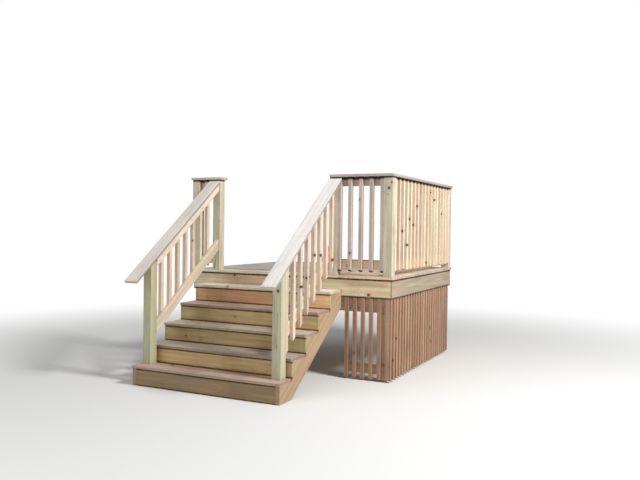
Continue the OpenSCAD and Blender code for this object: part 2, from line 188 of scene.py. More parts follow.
def woodMaterial(name, light, late, warm, worn, spread, dirt, knot=(0.12, 0.055, 0.028), ring=0.0048,
                 ringStrength=0.35, knotShare=0.45, knotSize=0.06, streak=0.16, checks=0.0, rough=0.68,
                 saw=0.0, seamShadeStrength=0.85, capShadeStrength=0.0, capShadeReach=0.024, endGrainAndShade=0.78, endLine=0.0,
                 darkerSides=1.0, drift=0.8, grime=(0.13, 0.10, 0.07), gloss=0.12, relief=(0.55, 0.0009)):
    made, tree, shader = newMaterial(name)
    shader.inputs["Specular IOR Level"].default_value = gloss

    here = ownAttribute(tree, "fromMiddle")
    half = ownAttribute(tree, "halfSize")
    shift = ownAttribute(tree, "boardShift")
    along = ownAttribute(tree, "alongGrain")
    tint = ownAttribute(tree, "boardToneAndLight")
    grain = vectorCalc(tree, "ADD", here, shift)
    chance = addNode(tree, "ShaderNodeTexWhiteNoise", noise_dimensions="3D")
    feed(tree, chance.inputs["Vector"], shift)
    boardLuck = splitColor(tree, chance.outputs["Color"])

    knotReach = cellKnots(tree, grain, knotShare, knotSize)
    for spotName in ("knotAt", "otherKnotAt"):
        knotReach = calc(tree, "MINIMUM", knotReach, placedKnot(tree, here, grain, spotName))
    knotCore = remap(tree, knotReach, 1.15, 0.75)
    knotHalo = remap(tree, knotReach, 3.2, 1.0)

    # growth rings round a pith beside the board, wandering along it and swelling round the knots
    grey = (0.5, 0.5, 0.5)
    wander = vectorCalc(tree, "SUBTRACT", noiseAt(tree, grain, patterns["wander"], color=True), grey)
    wobble = vectorCalc(tree, "SUBTRACT", noiseAt(tree, grain, patterns["wobble"], color=True), grey)
    bent = vectorCalc(tree, "ADD", grain, vectorCalc(tree, "MULTIPLY", wander, (0, 0.035, 0.035)))
    bent = vectorCalc(tree, "ADD", bent, vectorCalc(tree, "MULTIPLY", wobble, (0, 0.0025, 0.0025)))
    radius = vectorCalc(tree, "LENGTH", vectorCalc(tree, "MULTIPLY", bent, (0, 1, 1)), out=1)
    radius = calc(tree, "ADD", radius, calc(tree, "MULTIPLY", knotHalo, 0.009))
    ringPart = calc(tree, "FRACT", calc(tree, "DIVIDE", radius, ring))
    lateWood = calc(tree, "MULTIPLY", remap(tree, ringPart, 0.25, 0.88), remap(tree, ringPart, 1.0, 0.93))

    streaks = noiseAt(tree, grain, patterns["streaks"], 3, 0.55)
    fibre = noiseAt(tree, grain, patterns["fibre"])
    objectSpace = addNode(tree, "ShaderNodeTexCoord").outputs["Object"]
    patches = noiseAt(tree, objectSpace, patterns["patches"], 5, 0.6)
    specks = noiseAt(tree, objectSpace, patterns["specks"], 3, 0.6)

    # distance to the nearest edge of the board, from its own size
    inward = vectorCalc(tree, "SUBTRACT", half, vectorCalc(tree, "ABSOLUTE", here))
    fromEnd, fromSide, fromFace = splitUp(tree, inward)
    nearer = calc(tree, "MINIMUM", fromSide, fromFace)
    further = calc(tree, "MAXIMUM", fromSide, fromFace)
    toEdge = calc(tree, "MAXIMUM", nearer, calc(tree, "MINIMUM", further, fromEnd))
    rubbed = calc(tree, "MULTIPLY", remap(tree, toEdge, 0.006, 0.0005), remap(tree, specks, 0.32, 0.6))
    facing = addNode(tree, "ShaderNodeNewGeometry").outputs["Normal"]
    endOn = calc(tree, "ABSOLUTE", vectorCalc(tree, "DOT_PRODUCT", facing, along, out=1))
    endCut = remap(tree, endOn, 0.55, 0.75)
    soaked = remap(tree, fromEnd, 0.035, 0.0)

    # colour: rings, warmer streaks, tone of the board, darker end grain and darker sides; on the rails' cut
    # ends that face down and on the sides of deck boards and caps this darkening is painted shade
    color = blendColor(tree, calc(tree, "MULTIPLY", lateWood, ringStrength), light, late)
    warmth = calc(tree, "ADD", calc(tree, "MULTIPLY", remap(tree, streaks, 0.42, 0.66), 0.45),
                  calc(tree, "MULTIPLY", boardLuck[1], 0.45))
    color = blendColor(tree, warmth, color, warm)
    level = calc(tree, "ADD", remap(tree, boardLuck[0], 0, 1, 1 - spread, 1 + spread, smooth=False),
                 remap(tree, streaks, 0.25, 0.75, streak, -streak))
    level = calc(tree, "ADD", level, remap(tree, fibre, 0.3, 0.7, 0.05, -0.05))
    level = calc(tree, "MULTIPLY", level, remap(tree, endCut, 0, 1, 1.0, endGrainAndShade, smooth=False))
    # darker side faces: on the deck boards' noses and the caps' edges this is painted shade
    if darkerSides < 1:
        level = calc(tree, "MULTIPLY", level, remap(tree, fromSide, 0.004, 0.0005, 1.0, darkerSides))
    color = blendColor(tree, 1.0, color, greyColor(tree, level), "MULTIPLY")
    # the board's tint: its own tone, and painted light and shade where a tint is set for it
    color = blendColor(tree, 1.0, color, tint, "MULTIPLY")
    # the tone drifts along a board, between a pinker and a greener cast
    cast = remap(tree, noiseAt(tree, grain, patterns["cast"], 2, 0.6), 0.38, 0.62)
    cast = blendColor(tree, cast, tones["pinkCast"], tones["greenCast"])
    color = blendColor(tree, drift, color, blendColor(tree, 1.0, color, cast, "MULTIPLY"))
    # stains in patches and specks and at the ends, and edges rubbed pale
    stained = calc(tree, "MULTIPLY", remap(tree, patches, 0.48, 0.72), dirt * 1.6)
    stained = calc(tree, "ADD", stained, calc(tree, "MULTIPLY", remap(tree, specks, 0.58, 0.74), dirt * 0.9))
    stained = calc(tree, "ADD", stained, calc(tree, "MULTIPLY", soaked, 0.06 + dirt * 0.5), clamp=True)
    color = blendColor(tree, stained, color, grime)
    color = blendColor(tree, calc(tree, "MULTIPLY", rubbed, 0.55), color, worn)
    # painted shade along the seams with the next board and under the caps, flecked like dirt, and dark lines
    # at the joints
    seams = splitUp(tree, ownAttribute(tree, "seamAt"))
    acrossBoard = splitUp(tree, here)[1]
    toSeam = calc(tree, "MINIMUM", calc(tree, "ABSOLUTE", calc(tree, "SUBTRACT", acrossBoard, seams[0])),
                  calc(tree, "ABSOLUTE", calc(tree, "SUBTRACT", acrossBoard, seams[1])))
    seam = remap(tree, calc(tree, "DIVIDE", toSeam, seams[2]), 1.0, 0.4)
    seam = calc(tree, "MULTIPLY", seam, remap(tree, specks, 0.25, 0.6, seamShadeStrength * 0.75, seamShadeStrength))
    color = blendColor(tree, seam, color, tones["seam"])
    # painted shadow of the cap: the top end of the upright boards is darker
    if capShadeStrength:
        upright = calc(tree, "GREATER_THAN", splitUp(tree, along)[2], 0.9)
        toTop = calc(tree, "SUBTRACT", splitUp(tree, half)[0], splitUp(tree, here)[0])
        capShade = calc(tree, "MULTIPLY", remap(tree, toTop, capShadeReach, capShadeReach * 0.45), capShadeStrength)
        color = blendColor(tree, calc(tree, "MULTIPLY", capShade, upright), color, tones["seam"])
    if endLine:
        joint = calc(tree, "MULTIPLY", remap(tree, fromEnd, 0.011, 0.002),
                     remap(tree, endOn, 0.3, 0.5, endLine, 0.0))
        color = blendColor(tree, joint, color, tones["seam"])
    # knots, dark inside and ringed
    ringed = tuple(0.55 * a + 0.45 * b for a, b in zip(late, knot))
    color = blendColor(tree, calc(tree, "MULTIPLY", knotHalo, 0.30), color, ringed)
    color = blendColor(tree, calc(tree, "MULTIPLY", knotCore, 0.93), color, knot)
    height = calc(tree, "ADD", calc(tree, "MULTIPLY", lateWood, 0.35), calc(tree, "MULTIPLY", fibre, 0.55))
    height = calc(tree, "SUBTRACT", height, calc(tree, "MULTIPLY", knotCore, 0.5))
    if checks:
        # drying cracks that follow the grain
        threads = calc(tree, "SUBTRACT", noiseAt(tree, grain, patterns["cracks"], 1), 0.5)
        crack = calc(tree, "MULTIPLY", remap(tree, calc(tree, "ABSOLUTE", threads), 0.012, 0.003),
                     remap(tree, noiseAt(tree, grain, patterns["crackedSpots"], 1), 0.56, 0.64))
        color = blendColor(tree, calc(tree, "MULTIPLY", crack, checks), color, tones["crack"])
        height = calc(tree, "SUBTRACT", height, calc(tree, "MULTIPLY", crack, 2.2 * checks))
    if saw:
        # marks of the saw across the board
        turns = calc(tree, "ADD", calc(tree, "MULTIPLY", splitUp(tree, grain)[0], patterns["sawTurns"]),
                     calc(tree, "MULTIPLY", streaks, 9.0))
        height = calc(tree, "ADD", height, calc(tree, "MULTIPLY", calc(tree, "SINE", turns), saw))
    tree.links.new(color, shader.inputs["Base Color"])
    roughness = calc(tree, "ADD", remap(tree, patches, 0.3, 0.7, rough - 0.07, rough + 0.09),
                     calc(tree, "MULTIPLY", lateWood, -0.06))
    roughness = calc(tree, "ADD", roughness, calc(tree, "MULTIPLY", rubbed, -0.08), clamp=True)
    tree.links.new(roughness, shader.inputs["Roughness"])
    addBump(tree, shader, height, *relief)
    return made


looks = {
    "posts": dict(light=(0.68, 0.62, 0.50), late=(0.50, 0.39, 0.26), warm=(0.64, 0.59, 0.44),
                  worn=(0.80, 0.74, 0.62), ring=0.0062, knotShare=0.40, knotSize=0.075, spread=0.05,
                  checks=0.8, dirt=0.13, capShadeStrength=0.95, grime=(0.20, 0.19, 0.13)),
    # the rails' very dark end grain is painted shade on the cut ends that face down
    "rails": dict(light=(0.77, 0.68, 0.56), late=(0.60, 0.43, 0.28), warm=(0.77, 0.60, 0.46),
                  worn=(0.88, 0.80, 0.68), knotShare=0.55, knotSize=0.075, spread=0.10, dirt=0.05,
                  capShadeStrength=0.98, capShadeReach=0.036, seamShadeStrength=0.97, endGrainAndShade=0.16, knot=(0.065, 0.030, 0.015)),
    "handrails": dict(light=(0.90, 0.86, 0.82), late=(0.80, 0.68, 0.60), warm=(0.88, 0.80, 0.74),
                      worn=(0.92, 0.90, 0.87), knotShare=0.30, spread=0.04, streak=0.10, checks=0.5,
                      dirt=0.05, rough=0.62, darkerSides=0.50, drift=0.3),
    "caps": dict(light=(0.74, 0.68, 0.58), late=(0.60, 0.48, 0.35), warm=(0.72, 0.63, 0.50),
                 worn=(0.82, 0.78, 0.68), knotShare=0.35, spread=0.05, checks=0.5, dirt=0.08, darkerSides=0.78),
    "decking": dict(light=(0.52, 0.42, 0.33), late=(0.37, 0.26, 0.18), warm=(0.48, 0.35, 0.27),
                    worn=(0.66, 0.55, 0.45), knotShare=0.45, knotSize=0.08, spread=0.10, dirt=0.16,
                    rough=0.74, endGrainAndShade=0.74, darkerSides=0.84, drift=0.4, checks=0.45),
    "risers": dict(light=(0.42, 0.32, 0.17), late=(0.32, 0.21, 0.10), warm=(0.42, 0.30, 0.15),
                   worn=(0.52, 0.41, 0.24), knotShare=0.40, knotSize=0.07, spread=0.04, dirt=0.14,
                   grime=(0.10, 0.07, 0.04)),
    "framing": dict(light=(0.75, 0.65, 0.47), late=(0.57, 0.43, 0.26), warm=(0.74, 0.58, 0.39),
                    worn=(0.80, 0.70, 0.54), knotShare=0.40, knotSize=0.085, spread=0.05, dirt=0.10,
                    saw=0.10, seamShadeStrength=0.97, endLine=0.9, grime=(0.14, 0.10, 0.07)),
    "skirt": dict(light=(0.50, 0.34, 0.25), late=(0.34, 0.20, 0.12), warm=(0.46, 0.29, 0.20),
                  worn=(0.58, 0.44, 0.33), spread=0.16, dirt=0.2),
}
wood = {name: woodMaterial(name + "Wood", **look) for name, look in looks.items()}
print("wood materials made:", len(wood))


# metal of the screw and nail heads

metals = {"screwMetal": dict(color=(0.20, 0.17, 0.12), rough=0.45),
          "nailMetal": dict(color=(0.36, 0.35, 0.33), rough=0.4)}


def metalMaterial(name, color, rough, rust=(0.16, 0.07, 0.03), metallic=0.85, relief=(0.2, 0.0002)):
    made, tree, shader = newMaterial(name)
    shader.inputs["Metallic"].default_value = metallic
    place = addNode(tree, "ShaderNodeTexCoord").outputs["Object"]
    dull = noiseAt(tree, place, (160, 160, 160), 3)
    batch = noiseAt(tree, place, (9, 9, 9), 1)
    tone = blendColor(tree, remap(tree, dull, 0.35, 0.7), color, tuple(0.45 * c for c in color))
    tone = blendColor(tree, remap(tree, batch, 0.5, 0.7, 0.0, 0.6), tone, rust)
    tree.links.new(tone, shader.inputs["Base Color"])
    tree.links.new(remap(tree, dull, 0.3, 0.7, rough, rough + 0.25), shader.inputs["Roughness"])
    addBump(tree, shader, dull, *relief)
    return made


metal = {name: metalMaterial(name, **look) for name, look in metals.items()}


# boards

lumber = {"heartShift": 0.02, "sideShift": 0.03, "pithAway": (0.035, 0.11), "endEdge": 0.0012,
          "sliceLength": 0.32, "tintReach": 0.3}
boardLayers = ("fromMiddle", "halfSize", "boardShift", "alongGrain", "boardToneAndLight", "knotAt", "otherKnotAt",
               "seamAt")
noKnot = ((0, 0, 0), 0.0)
noSeam = -9.0
noSeams = (noSeam, noSeam, 0.001)


def stray(reach):
    # a small seeded step to either side
    return dice.uniform(-reach, reach)


def tinted(spread, base=(1, 1, 1)):
    # a small seeded change of tone from board to board
    tone = 1 + stray(spread)
    return tuple(b * tone * (1 + stray(spread) * 0.35) for b in base)


def between(low, high, count):
    # count even places from low to high, both ends included
    return [low + (high - low) * k / (count - 1) for k in range(count)]


def trim(bm, point, normal):
    everything = bm.verts[:] + bm.edges[:] + bm.faces[:]
    bmesh.ops.bisect_plane(bm, geom=everything, dist=1e-6, plane_co=point, plane_no=normal,
                           clear_outer=True)
    bmesh.ops.contextual_create(bm, geom=[e for e in bm.edges if e.is_boundary])


def markBoard(bm, place, size, shift, along, tint, farTint=None, knots=(), seams=noSeams):
    # every point of a board knows where in the board it is, and what the board is like;
    # the seam values are how far inside the lower and the upper edge the lines of painted shade lie, and
    # their reach
    back = place.inverted()
    near, far = Vector(tint), Vector(farTint or tint)
    values = {"halfSize": Vector(size) / 2, "boardShift": shift, "alongGrain": along,
              "seamAt": Vector((seams[0] - size[1] / 2, size[1] / 2 - seams[1], seams[2]))}
    for layerName, (spot, reach) in zip(("knotAt", "otherKnotAt"), (*knots, noKnot, noKnot)):
        inBoard = back @ Vector(spot)
        values[layerName] = Vector((inBoard.x, inBoard.y, reach))
    layers = {name: bm.verts.layers.float_vector.new(name) for name in boardLayers}
    for v in bm.verts:
        inBoard = back @ v.co
        v[layers["fromMiddle"]] = inBoard
        farPart = min(max(inBoard.x / (lumber["tintReach"] * size[0]), 0), 1)
        v[layers["boardToneAndLight"]] = near.lerp(far, farPart)
        for name, value in values.items():
            v[layers[name]] = value


def layBoard(piece, size, place, edge=0.003, segments=3, cuts=(), tint=(1, 1, 1), farTint=None, heart=False,
             bow=0.0006, knots=(), seams=noSeams, slide=0.0):
    # size is length, width, thickness; place turns the board's own axes into the frame;
    # the far tint is painted light, the tone that the board takes on towards its far end,
    # a heart board has the pith inside it, and slide moves the grain along
    length, width, thickness = size
    bm = bmesh.new()
    bmesh.ops.create_cube(bm, size=1)
    bmesh.ops.scale(bm, vec=size, verts=bm.verts)
    longEdges = [e for e in bm.edges if abs(e.verts[0].co.x - e.verts[1].co.x) > length / 2]
    bmesh.ops.bevel(bm, geom=longEdges, offset=edge, offset_type="OFFSET", affect="EDGES",
                    segments=segments, profile=0.5, material=-1)
    back = place.inverted()
    for point, normal in cuts:
        trim(bm, back @ Vector(point), back.to_3x3() @ Vector(normal).normalized())
    ends = {f for f in bm.faces if abs(f.normal.x) > 0.35}
    endEdges = [e for e in bm.edges if len(e.link_faces) == 2 and len(set(e.link_faces) & ends) == 1]
    bmesh.ops.bevel(bm, geom=endEdges, offset=min(lumber["endEdge"], edge * 0.4), offset_type="OFFSET",
                    affect="EDGES", segments=1, profile=0.5, material=-1)
    # slices along the board let it bow
    steps = int(length / lumber["sliceLength"])
    for k in range(1, steps):
        everything = bm.verts[:] + bm.edges[:] + bm.faces[:]
        bmesh.ops.bisect_plane(bm, geom=everything, dist=1e-6, plane_no=(1, 0, 0),
                               plane_co=((k / steps - 0.5) * length, 0, 0))
    if heart:
        shift = Vector((dice.uniform(0, 60), stray(lumber["heartShift"]), stray(lumber["heartShift"])))
    else:
        shift = Vector((dice.uniform(0, 60), stray(lumber["sideShift"]),
                        dice.choice((-1, 1)) * dice.uniform(*lumber["pithAway"])))
    shift.x += slide
    bmesh.ops.transform(bm, matrix=place, verts=bm.verts)
    markBoard(bm, place, size, shift, place.to_3x3() @ axisX, tint, farTint, knots, seams)
    phase, lean = dice.uniform(0, 6.28), dice.choice((-1, 1))
    sideways, outward = place.to_3x3() @ axisY, place.to_3x3() @ axisZ
    for v in bm.verts:
        t = (back @ v.co).x / length
        fade = bow * (1 - 4 * t * t)
        v.co += sideways * (lean * fade * math.sin(math.pi * 2 * t + phase))
        v.co += outward * (fade * math.sin(math.pi * 3 * t + phase * 2))
    bmesh.ops.recalc_face_normals(bm, faces=bm.faces)
    part = bpy.data.meshes.new("part")
    bm.to_mesh(part)
    bm.free()
    piece.from_mesh(part)
    bpy.data.meshes.remove(part)


def turned(first, second, middle):
    # a frame whose x runs along first and y along second
    third = first.cross(second)
    return Matrix.Translation(middle) @ Matrix((first, second, third)).transposed().to_4x4()


def boxBoard(piece, low, high, along, **how):
    # a board that fills a box: its length along x, y or z, its width along the wider of the other two
    low, high = Vector(low), Vector(high)
    axes = {"x": (axisX, axisY, axisZ), "y": (axisY, axisX, axisZ), "z": (axisZ, axisX, axisY)}[along]
    first, second, third = axes
    reach = high - low
    if reach.dot(third) - reach.dot(second) > 0.001:
        second, third = third, second
    size = (reach.dot(first), reach.dot(second), reach.dot(third))
    layBoard(piece, size, turned(first, second, (low + high) / 2), **how)


def finishPiece(piece, name, nodes, finish, material=None):
    # a finish names the wood, and the heads bring their own metal
    mesh = bpy.data.meshes.new(name)
    piece.to_mesh(mesh)
    piece.free()
    made = bpy.data.objects.new(name, mesh)
    bpy.context.scene.collection.objects.link(made)
    mesh.materials.append(material or wood[finish])
    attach(made, "root")
    if nodes:
        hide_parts(*nodes)


def boardPiece(name, node, finish, along, topGap=0.0, **how):
    # a node that is a single board, which fills the node's box up to a gap at its top
    low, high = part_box(node)
    high.z -= topGap
    piece = bmesh.new()
    boxBoard(piece, low, high, along, **how)
    finishPiece(piece, name, [node], finish)


def pieceName(node, ending):
    # left_upper_post and Timber give leftUpperPostTimber
    first, *others = node.split("_")
    return first + "".join(word.capitalize() for word in others) + ending


# the heads of screws and nails are made last, at these places

screwSpots = []
nailSpots = []


def driveScrews(supports, front, back, top, reach):
    # two screws across a board over each support, a little out of line along and across
    for x in supports:
        for across in (0.25, 0.75):
            spot = (x + stray(reach[0]), front + across * (back - front) + stray(reach[1]), top)
            screwSpots.append((spot, axisZ))


# treads and risers

flight = {"boardWidth": 0.140, "boardGap": 0.005, "edge": 0.005, "stringer": 0.038, "seam": 0.017,
          "treadSpread": 0.05, "screwStray": (0.004, 0.003), "knotSize": 0.018,
          # the tread tints are painted light and shade: the top tread much lighter, the second darker
          "treadLightTint": {1: (1.02, 0.97, 0.98), 2: (0.80, 0.86, 0.93), 3: (1.11, 1.12, 1.15),
                        4: (1.01, 0.91, 0.94), 5: (1.59, 1.78, 1.94)},
          "treadKnots": {1: [(0.319, 0.190)], 2: [(0.834, 0.132)], 3: [(0.319, 0.134), (0.175, 0.216)],
                         4: [(0.193, 0.258)], 5: []},
          "riserGap": 0.003, "riserEdge": 0.0015, "riserBow": {1: 0.0}, "otherBow": 0.0005,
          # the riser tints are painted light and shade, and the far tint lightens the fifth riser's right end
          "riserLightTint": {1: (0.79, 0.77, 0.87), 2: (1.62, 1.60, 1.62), 3: (1.27, 1.30, 1.33),
                        4: (1.47, 1.49, 1.54), 5: (1.59, 1.34, 1.46)},
          "riserFarLightTint": {5: (2.10, 1.94, 1.98)}, "nailUp": 0.055, "nailDown": 0.030, "nailStray": 0.004}

for k in range(1, 6):
    low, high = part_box(f"tread_{k}")
    middle = low.y + flight["boardWidth"]
    stringerMiddles = [low.x + flight["stringer"] / 2, (low.x + high.x) / 2, high.x - flight["stringer"] / 2]
    piece = bmesh.new()
    for y0, y1 in ((low.y, middle), (middle + flight["boardGap"], high.y)):
        knots = [((low.x + right, low.y + backward, high.z), flight["knotSize"])
                 for right, backward in flight["treadKnots"][k] if y0 <= low.y + backward <= y1]
        seams = noSeams if y0 == low.y else (noSeam, 0.0, flight["seam"])
        boxBoard(piece, (low.x, y0, low.z), (high.x, y1, high.z), "x", edge=flight["edge"],
                 tint=tinted(flight["treadSpread"], flight["treadLightTint"][k]), knots=knots, seams=seams)
        driveScrews(stringerMiddles, y0, y1, high.z, flight["screwStray"])
    finishPiece(piece, f"treadBoards{k}", [f"tread_{k}"], "decking")
    # the first riser fits between the outer stringers; the others reach down behind the tread below
    treadThickness = high.z - low.z if k > 1 else 0.0
    boardPiece(f"riserBoard{k}", f"riser_{k}", "risers", "x", flight["riserGap"], edge=flight["riserEdge"],
               bow=flight["riserBow"].get(k, flight["otherBow"]), tint=flight["riserLightTint"][k],
               farTint=flight["riserFarLightTint"].get(k), seams=(treadThickness, 0.0, flight["seam"]))
    low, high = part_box(f"riser_{k}")
    for x in stringerMiddles if k > 1 else stringerMiddles[1:2]:
        for z in (low.z + flight["nailUp"], high.z - flight["nailDown"]):
            nailSpots.append(((x, low.y, z + stray(flight["nailStray"])), -axisY))
print("treads and risers laid")

stringers = {"alongGrain": (0, 0.825, 0.565), "board": (1.5, 0.4), "pithAway": 0.07, "edge": 0.0012,
             "tint": (0.62, 0.53, 0.48)}
alongStringer = Vector(stringers["alongGrain"]).normalized()

for name in ("left_stringer", "middle_stringer", "right_stringer"):
    # the notched board keeps its cut shape: a merged copy with eased edges, its grain along the slope
    piece = bmesh.new()
    piece.from_mesh(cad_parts[name].data)
    bmesh.ops.remove_doubles(piece, verts=piece.verts, dist=1e-5)
    bmesh.ops.dissolve_limit(piece, angle_limit=0.02, verts=piece.verts, edges=piece.edges)
    bmesh.ops.bevel(piece, geom=piece.edges[:], offset=stringers["edge"], offset_type="OFFSET",
                    affect="EDGES", segments=2, profile=0.5, material=-1)
    low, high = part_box(name)
    place = turned(alongStringer, axisX.cross(alongStringer), (low + high) / 2)
    shift = Vector((dice.uniform(0, 60), stray(lumber["heartShift"]), stringers["pithAway"]))
    markBoard(piece, place, (*stringers["board"], high.x - low.x), shift, alongStringer, stringers["tint"])
    finishPiece(piece, pieceName(name, "Board"), [name], "framing")
print("stringers eased")


# deck and its frame

deck = {"boards": 15, "gap": 0.004, "edge": 0.005, "joists": 6, "board": 0.038, "rimGap": 0.003,
        "seam": 0.023, "deckSpread": 0.06, "joistSpread": 0.05, "screwStray": (0.005, 0.004),
        # the near and far tints are painted light and shade: the front boards lighter, and every board
        # lighter towards its right end under the guard
        "tints": {0: ((1.84, 2.10, 2.22), (1.88, 1.77, 1.69)), 1: ((1.26, 1.41, 1.56), (1.53, 1.56, 1.68)),
                  2: ((1.28, 1.41, 1.52), (1.72, 1.66, 1.72)), 3: ((1.12, 1.28, 1.43), (1.72, 1.66, 1.74))},
        "otherLightTints": ((0.88, 1.03, 1.21), (1.56, 1.62, 1.68)), "hiddenTint": (0.9, 0.9, 0.9),
        "joistNail": 0.035, "nailStray": 0.006, "rimNail": 0.030, "frontNail": 0.052, "rearNail": 0.019}

low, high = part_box("deck_boards")
joistLow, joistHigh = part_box("joists")
frontRim, rightRim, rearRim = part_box("front_rim"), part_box("right_rim"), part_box("rear_rim")
pitch = (high.y - low.y + deck["gap"]) / deck["boards"]
joistMiddles = between(joistLow.x + deck["board"] / 2, joistHigh.x - deck["board"] / 2, deck["joists"])
rimMiddles = [frontRim[0].x + deck["board"] / 2, rightRim[1].x - deck["board"] / 2]
piece = bmesh.new()
for k in range(deck["boards"]):
    y = low.y + k * pitch
    y1 = y + pitch - deck["gap"]
    tone = tinted(deck["deckSpread"])
    nearLightTint, farTint = [tuple(a * b for a, b in zip(tone, tint))
                         for tint in deck["tints"].get(k, deck["otherLightTints"])]
    boxBoard(piece, (low.x, y, low.z), (high.x, y1, high.z), "x", edge=deck["edge"], tint=nearLightTint,
             farTint=farTint)
    driveScrews(joistMiddles + rimMiddles, y, y1, high.z, deck["screwStray"])
finishPiece(piece, "deckFloor", ["deck_boards"], "decking")

leftCorner = (frontRim[0].x, frontRim[0].y, 0)
rightCorner = (frontRim[1].x, frontRim[0].y, 0)
rims = {
    # painted light and shade: the front rim lighter towards its right end, the right rim much darker
    "front_rim": dict(along="x", tint=(1.06, 1.08, 1.09), farTint=(1.15, 1.19, 1.18), slide=7.3,
                      cuts=[(rightCorner, (1, 1, 0)), (leftCorner, (-1, 1, 0))],
                      knots=[((0.918, frontRim[0].y, 0.836), 0.013),
                             ((-0.618, frontRim[0].y, 0.964), 0.011)]),
    "right_rim": dict(along="y", tint=(0.55, 0.54, 0.56), cuts=[(rightCorner, (-1, -1, 0))]),
    "left_rim": dict(along="y", tint=deck["hiddenTint"], cuts=[(leftCorner, (1, -1, 0))]),
    "rear_rim": dict(along="x", tint=deck["hiddenTint"]),
}
for name, how in rims.items():
    boardPiece(pieceName(name, "Board"), name, "framing", topGap=deck["rimGap"],
               seams=(0.0, 0.0, deck["seam"]), **how)
for name in ("front_beam", "rear_beam"):
    boardPiece(pieceName(name, "Board"), name, "framing", "x")
for corner in ("fl", "fr", "rl", "rr"):
    boardPiece("supportTimber" + corner.upper(), "support_" + corner, "framing", "z", heart=True)

piece = bmesh.new()
for x in joistMiddles:
    half = deck["board"] / 2
    boxBoard(piece, (x - half, joistLow.y, joistLow.z),
             (x + half, joistHigh.y, joistHigh.z - deck["rimGap"]), "y", tint=tinted(deck["joistSpread"]))
    for z in between(frontRim[0].z + deck["joistNail"], frontRim[1].z - deck["joistNail"], 3):
        for y, outward in ((frontRim[0].y, -axisY), (rearRim[1].y, axisY)):
            nailSpots.append(((x + stray(deck["nailStray"]), y, z), outward))
finishPiece(piece, "joistBoards", ["joists"], "framing")
for z in between(frontRim[0].z + deck["rimNail"], frontRim[1].z - deck["rimNail"], 3):
    nailSpots.append(((rightRim[1].x, rightRim[0].y + deck["frontNail"], z), axisX))
    nailSpots.append(((rightRim[1].x, rightRim[1].y - deck["rearNail"], z), axisX))
    nailSpots.append(((frontRim[0].x, rightRim[0].y + deck["frontNail"], z), -axisX))
print("deck laid")


# skirt

skirt = {"slat": 0.040, "step": 0.085, "thickness": 0.019, "edge": 0.0015, "nailer": 0.038,
         # the tint darkens and warms the slats: partly their own tone, partly painted shade under the rim
         "nailerHeight": 0.089, "nailerEdge": 0.002, "lowNailer": 0.070, "tint": (0.88, 0.80, 0.72),
         "spread": 0.12, "nailUp": 0.045, "nailStray": 0.012}


def hangSkirt(name, node, along, outward):
    # upright slats on two nailers; both rows of slats start at the deck's front right corner
    low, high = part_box(node)
    slat, thick = skirt["slat"], skirt["thickness"]
    nailerZ = (high.z - skirt["nailerHeight"], skirt["lowNailer"])
    reach = high.x - low.x if along == "x" else high.y - low.y
    piece = bmesh.new()
    for k in range(int((reach - slat) / skirt["step"] + 0.01) + 1):
        if along == "x":
            x = high.x - slat - k * skirt["step"]
            corners, face = ((x, low.y, low.z), (x + slat, low.y + thick, high.z)), (x + slat / 2, low.y)
        else:
            y = low.y + k * skirt["step"]
            corners, face = ((high.x - thick, y, low.z), (high.x, y + slat, high.z)), (high.x, y + slat / 2)
        boxBoard(piece, *corners, "z", edge=skirt["edge"], segments=2,
                 tint=tinted(skirt["spread"], skirt["tint"]))
        for z in nailerZ:
            nailSpots.append(((*face, z + skirt["nailUp"] + stray(skirt["nailStray"])), outward))
    end = high.x - (skirt["nailer"] if along == "x" else thick)
    for z in nailerZ:
        boxBoard(piece, (low.x, low.y + thick, z), (end, high.y, z + skirt["nailerHeight"]), along,
                 edge=skirt["nailerEdge"])
    finishPiece(piece, name, [node], "skirt")


hangSkirt("frontSkirtSlats", "front_skirt", "x", -axisY)
hangSkirt("rightSkirtSlats", "right_skirt", "y", axisX)
print("skirt hung")


# posts

posts = {"edge": 0.003, "bow": 0.0004, "spread": 0.02,
         "knots": {"corner_post": [(0.040, 0.850, 0.012), (0.013, 0.905, 0.008)],
                   "right_newel": [(0.035, 0.757, 0.012)]},
         # the newel tints are painted shade, the left newel darker and greener
         "tint": {"left_newel": (0.76, 0.80, 0.68), "right_newel": (0.87, 0.90, 0.86)},
         "otherTint": (0.97, 0.97, 0.95)}
railSlope = 0.755
alongRail = Vector((0, 1, railSlope)).normalized()
aboveRail = Vector((0, -alongRail.z, alongRail.y))

for name in ("left_newel", "right_newel", "left_upper_post", "right_upper_post", "wall_post", "corner_post",
             "far_post", "return_post"):
    low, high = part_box(name)
    cuts = [(high, aboveRail)] if name.endswith("newel") else []
    knots = [((high.x - inset, low.y, low.z + up), size) for inset, up, size in posts["knots"].get(name, [])]
    boardPiece(pieceName(name, "Timber"), name, "posts", "z", edge=posts["edge"], cuts=cuts, heart=True,
               bow=posts["bow"], knots=knots,
               tint=tinted(posts["spread"], posts["tint"].get(name, posts["otherTint"])))
print("posts set")


# level guards

